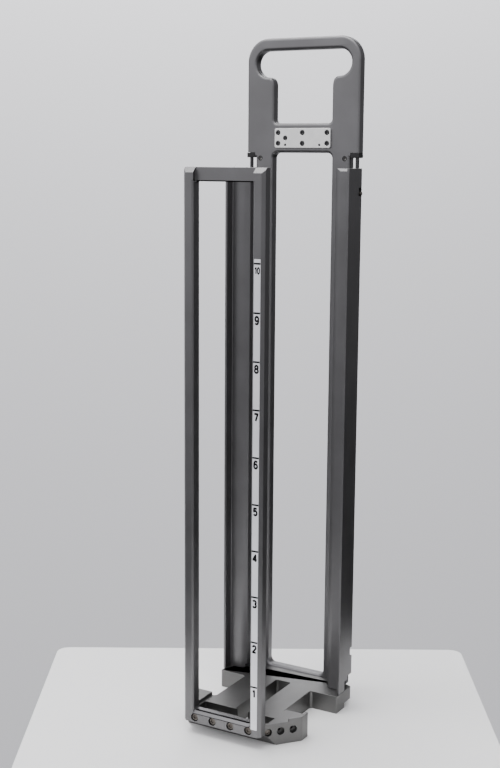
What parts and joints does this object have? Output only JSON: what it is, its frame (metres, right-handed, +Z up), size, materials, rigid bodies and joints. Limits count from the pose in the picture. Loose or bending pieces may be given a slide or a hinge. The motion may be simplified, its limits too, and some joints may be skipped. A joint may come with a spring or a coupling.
{
  "type": "microplate stacking rack",
  "caption": "Tall open metal rack that guides a stack of microplates between a front frame and rear rails, with a carrying handle and spring-loaded bottom catches.",
  "frame": {"origin": "middle of the footprint, on the floor", "axes": "+Z up along the posts and rails, +X to the right, -Y to the front, where the two posts and the scale are"},
  "size_m": [0.126, 0.1494, 0.618],
  "materials": {
    "alloy": "bead-blasted, grey anodised, satin",
    "steel": "satin",
    "dark_steel": "blackened, oiled",
    "bright_plate": "fine matt, clear anodised",
    "black_plastic": "fine matt",
    "label": "semi-matt printed film"
  },
  "bodies": {
    "rack": {"base_plate": "alloy", "front_frame": "alloy", "rear_plate": "alloy", "scale_strip": "label", "id_plate": "bright_plate", "id_plate_screw_1": "dark_steel", "id_plate_screw_2": "dark_steel", "id_plate_screw_3": "dark_steel", "id_plate_screw_4": "dark_steel", "id_plate_screw_5": "dark_steel", "id_plate_screw_6": "dark_steel", "code_plug": "black_plastic", "code_pin_1": "dark_steel", "code_pin_2": "dark_steel", "front_screw_1": "steel", "front_screw_2": "steel", "front_screw_3": "steel", "front_screw_4": "steel", "rear_screw_1": "steel", "rear_screw_2": "steel", "rear_screw_3": "steel", "rear_screw_4": "steel", "left_rail": "alloy", "left_rod_bush": "black_plastic", "left_set_screw": "dark_steel", "left_rod_spring": "steel", "left_guide_pin": "steel", "left_rail_screw_1": "steel", "left_rail_screw_2": "steel", "left_rail_screw_3": "steel", "left_corner_screw": "steel", "right_rail": "alloy", "right_rod_bush": "black_plastic", "right_set_screw": "dark_steel", "right_rod_spring": "steel", "right_guide_pin": "steel", "right_rail_screw_1": "steel", "right_rail_screw_2": "steel", "right_rail_screw_3": "steel", "right_corner_screw": "steel"},
    "left_release": {"left_release_rod": "dark_steel", "left_release_stud": "steel", "left_cam_pin": "steel"},
    "left_latch": {"left_catch": "black_plastic"},
    "right_release": {"right_release_rod": "dark_steel", "right_release_stud": "steel", "right_cam_pin": "steel"},
    "right_latch": {"right_catch": "black_plastic"}
  },
  "joints": [
    {"name": "left_release_slide", "type": "slide", "parent": "rack", "child": "left_release", "axis": [0, 0, 1], "range_m": [0, 0.003], "stiffness_N_per_m": 500, "springref_m": -0.006, "deforming": ["left_rod_spring"]},
    {"name": "left_catch_slide", "type": "slide", "parent": "rack", "child": "left_latch", "axis": [-1, 0, 0], "range_m": [0, 0.003]},
    {"name": "right_release_slide", "type": "slide", "parent": "rack", "child": "right_release", "axis": [0, 0, 1], "range_m": [0, 0.003], "stiffness_N_per_m": 500, "springref_m": -0.006, "deforming": ["right_rod_spring"]},
    {"name": "right_catch_slide", "type": "slide", "parent": "rack", "child": "right_latch", "axis": [1, 0, 0], "range_m": [0, 0.003]}
  ],
  "couplings": [
    {"joint": "left_catch_slide", "follows": "left_release_slide", "ratio": 1},
    {"joint": "right_catch_slide", "follows": "right_release_slide", "ratio": 1}
  ]
}
